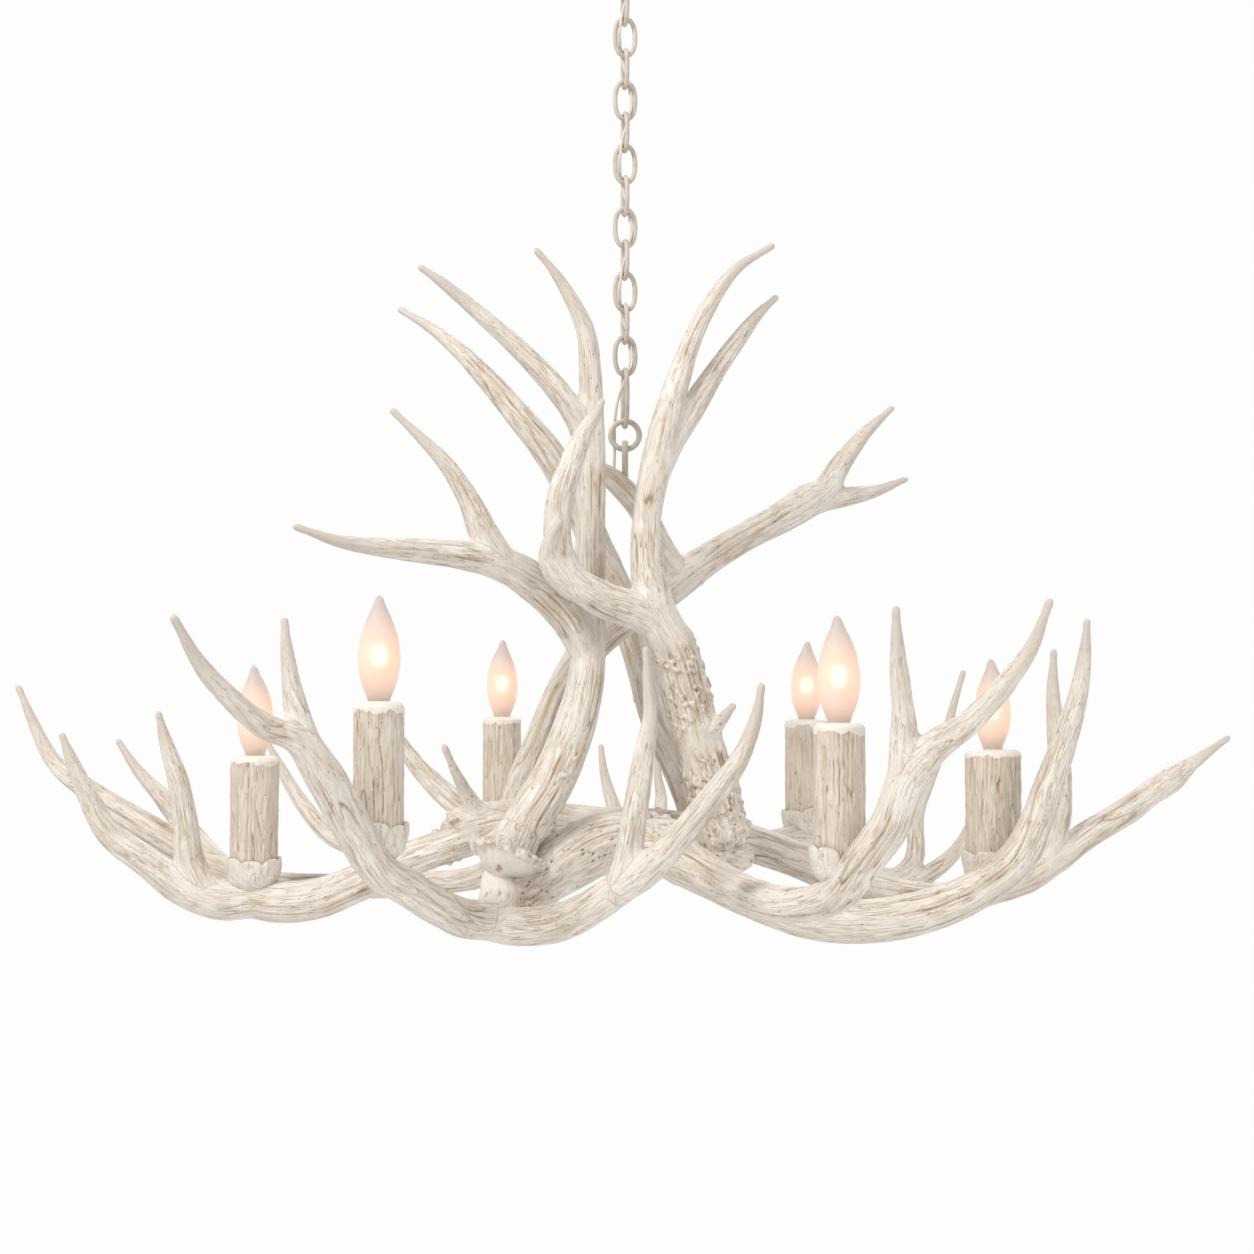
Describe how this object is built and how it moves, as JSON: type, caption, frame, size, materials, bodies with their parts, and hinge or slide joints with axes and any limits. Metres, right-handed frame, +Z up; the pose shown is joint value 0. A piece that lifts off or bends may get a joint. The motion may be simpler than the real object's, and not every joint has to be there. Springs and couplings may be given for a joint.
{
  "type": "antler chandelier",
  "caption": "Cast resin antler chandelier with candle lights on the lower antlers, hung from a ceiling canopy by a chain.",
  "frame": {"origin": "centre of the ceiling strap's upper face, on the ceiling, on the chain's axis", "axes": "+Z up, -Y towards the viewer of the front, +X to that viewer's right along the widest spread of antlers"},
  "size_m": [1.0917, 0.78, 0.882],
  "materials": {
    "antler_resin": "cast resin, antiqued with a brown wash",
    "candle_resin": "cast resin with bark grooves",
    "painted_steel": "matt beige paint",
    "plated_steel": "zinc plated",
    "cord_jacket": "satin",
    "socket_body": "moulded",
    "bulb_glass": "frosted",
    "bulb_base": "satin"
  },
  "bodies": {
    "ceiling": {"ceiling_strap": "plated_steel", "canopy": "painted_steel", "stem_lock_nut": "plated_steel", "canopy_nut": "painted_steel", "canopy_loop": "painted_steel"},
    "top_link": {"chain_link_01": "painted_steel"},
    "chain": {"chain_link_02": "painted_steel", "chain_link_03": "painted_steel", "chain_link_04": "painted_steel", "chain_link_05": "painted_steel", "chain_link_06": "painted_steel", "chain_link_07": "painted_steel", "chain_link_08": "painted_steel", "chain_link_09": "painted_steel", "chain_link_10": "painted_steel", "chain_link_11": "painted_steel", "chain_link_12": "painted_steel", "supply_cord": "cord_jacket"},
    "long_link": {"long_link": "painted_steel"},
    "ring": {"hanging_ring": "painted_steel"},
    "fixture": {"hanging_eye": "painted_steel", "hub_casting": "antler_resin", "candle_sockets": "socket_body", "upper_front_left_antler": "antler_resin", "upper_front_right_antler": "antler_resin", "upper_rear_left_antler": "antler_resin", "upper_rear_right_antler": "antler_resin", "lower_front_antler": "antler_resin", "lower_left_antler": "antler_resin", "lower_far_left_antler": "antler_resin", "lower_rear_left_antler": "antler_resin", "lower_rear_antler": "antler_resin", "lower_front_right_antler": "antler_resin", "lower_right_antler": "antler_resin", "lower_far_right_antler": "antler_resin", "lower_rear_right_antler": "antler_resin", "candle_cup_1": "antler_resin", "candle_cup_2": "antler_resin", "candle_cup_3": "antler_resin", "candle_cup_4": "antler_resin", "candle_cup_5": "antler_resin", "candle_cup_6": "antler_resin", "candle_sleeve_1": "candle_resin", "candle_sleeve_2": "candle_resin", "candle_sleeve_3": "candle_resin", "candle_sleeve_4": "candle_resin", "candle_sleeve_5": "candle_resin", "candle_sleeve_6": "candle_resin"},
    "bulb_1": {"bulb_glass_1": "bulb_glass", "bulb_base_1": "bulb_base"},
    "bulb_2": {"bulb_glass_2": "bulb_glass", "bulb_base_2": "bulb_base"},
    "bulb_3": {"bulb_glass_3": "bulb_glass", "bulb_base_3": "bulb_base"},
    "bulb_4": {"bulb_glass_4": "bulb_glass", "bulb_base_4": "bulb_base"},
    "bulb_5": {"bulb_glass_5": "bulb_glass", "bulb_base_5": "bulb_base"},
    "bulb_6": {"bulb_glass_6": "bulb_glass", "bulb_base_6": "bulb_base"}
  },
  "joints": [
    {"name": "top_link_swing", "type": "hinge", "parent": "ceiling", "child": "top_link", "pos_m": [0, 0, -0.0555], "axis": [1, 0, 0], "range_deg": [-15, 15], "deforming": ["supply_cord"]},
    {"name": "chain_sway", "type": "hinge", "parent": "top_link", "child": "chain", "pos_m": [0, 0, -0.0834], "axis": [0, 1, 0], "range_deg": [-15, 15], "deforming": ["supply_cord"]},
    {"name": "long_link_swing", "type": "hinge", "parent": "chain", "child": "long_link", "pos_m": [0, 0, -0.3947], "axis": [1, 0, 0], "range_deg": [-8, 8], "deforming": ["supply_cord"]},
    {"name": "ring_sway", "type": "hinge", "parent": "long_link", "child": "ring", "pos_m": [0, 0, -0.4404], "axis": [0, 1, 0], "range_deg": [-8, 8], "deforming": ["supply_cord"]},
    {"name": "fixture_swing", "type": "hinge", "parent": "ring", "child": "fixture", "pos_m": [0, 0, -0.4607], "axis": [1, 0, 0], "range_deg": [-6, 6], "deforming": ["supply_cord"]},
    {"name": "bulb_1_screw", "type": "hinge", "parent": "fixture", "child": "bulb_1", "pos_m": [-0.18, -0.264, -0.8002], "axis": [0, 0, 1], "range_deg": [0, 540]},
    {"name": "bulb_2_screw", "type": "hinge", "parent": "fixture", "child": "bulb_2", "pos_m": [-0.32, 0, -0.8002], "axis": [0, 0, 1], "range_deg": [0, 540]},
    {"name": "bulb_3_screw", "type": "hinge", "parent": "fixture", "child": "bulb_3", "pos_m": [-0.125, 0.296, -0.8002], "axis": [0, 0, 1], "range_deg": [0, 540]},
    {"name": "bulb_4_screw", "type": "hinge", "parent": "fixture", "child": "bulb_4", "pos_m": [0.181, 0.262, -0.8002], "axis": [0, 0, 1], "range_deg": [0, 540]},
    {"name": "bulb_5_screw", "type": "hinge", "parent": "fixture", "child": "bulb_5", "pos_m": [0.155, -0.281, -0.8002], "axis": [0, 0, 1], "range_deg": [0, 540]},
    {"name": "bulb_6_screw", "type": "hinge", "parent": "fixture", "child": "bulb_6", "pos_m": [0.318, 0, -0.8002], "axis": [0, 0, 1], "range_deg": [0, 540]}
  ]
}
